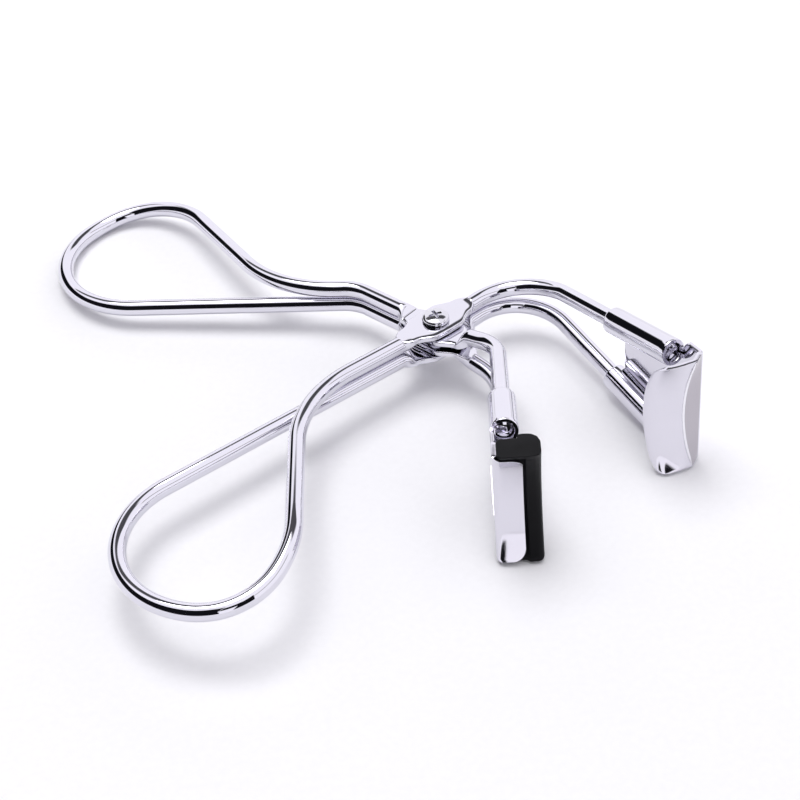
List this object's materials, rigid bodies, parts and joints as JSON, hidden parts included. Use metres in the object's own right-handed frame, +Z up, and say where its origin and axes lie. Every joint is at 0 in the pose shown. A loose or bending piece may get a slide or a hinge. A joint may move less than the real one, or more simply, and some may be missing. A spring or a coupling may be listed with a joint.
{
  "type": "eyelash curler",
  "caption": "Scissor-action wire eyelash curler, open: wire levers crossing at a pivot screw, finger loops, a channel jaw with a silicone pad and a curved counter jaw.",
  "frame": {"origin": "middle of the bottom of the bounding box, on the table that the open curler lies on", "axes": "+Z up from the table; +X towards the jaws' side, seen from the side the jaws' front faces look to; +Y away from that side, across the finger loops. The pivot's axis leans 4.5 degrees from +Z, because the curler rests on its two jaws and one loop."},
  "size_m": [0.1144, 0.116, 0.0233],
  "materials": {
    "polished_chrome": "mirror polished chrome plating",
    "jaw_chrome": "polished chrome plating on pressed sheet",
    "screw_steel": "bright plated steel",
    "black_silicone": "satin moulded silicone"
  },
  "bodies": {
    "pad_lever": {"pad_handle_wire": "polished_chrome", "pad_jaw_channel": "jaw_chrome", "silicone_pad": "black_silicone", "pivot_spacer": "screw_steel"},
    "counter_lever": {"counter_handle_wire": "polished_chrome", "counter_jaw_plate": "jaw_chrome", "pivot_screw": "screw_steel", "pivot_nut": "screw_steel"}
  },
  "joints": [
    {"name": "pivot_hinge", "type": "hinge", "parent": "pad_lever", "child": "counter_lever", "pos_m": [0.01451, 0.00591, 0.00856], "axis": [0.031, -0.0722, -0.9969], "range_deg": [-12, 31.8]}
  ]
}
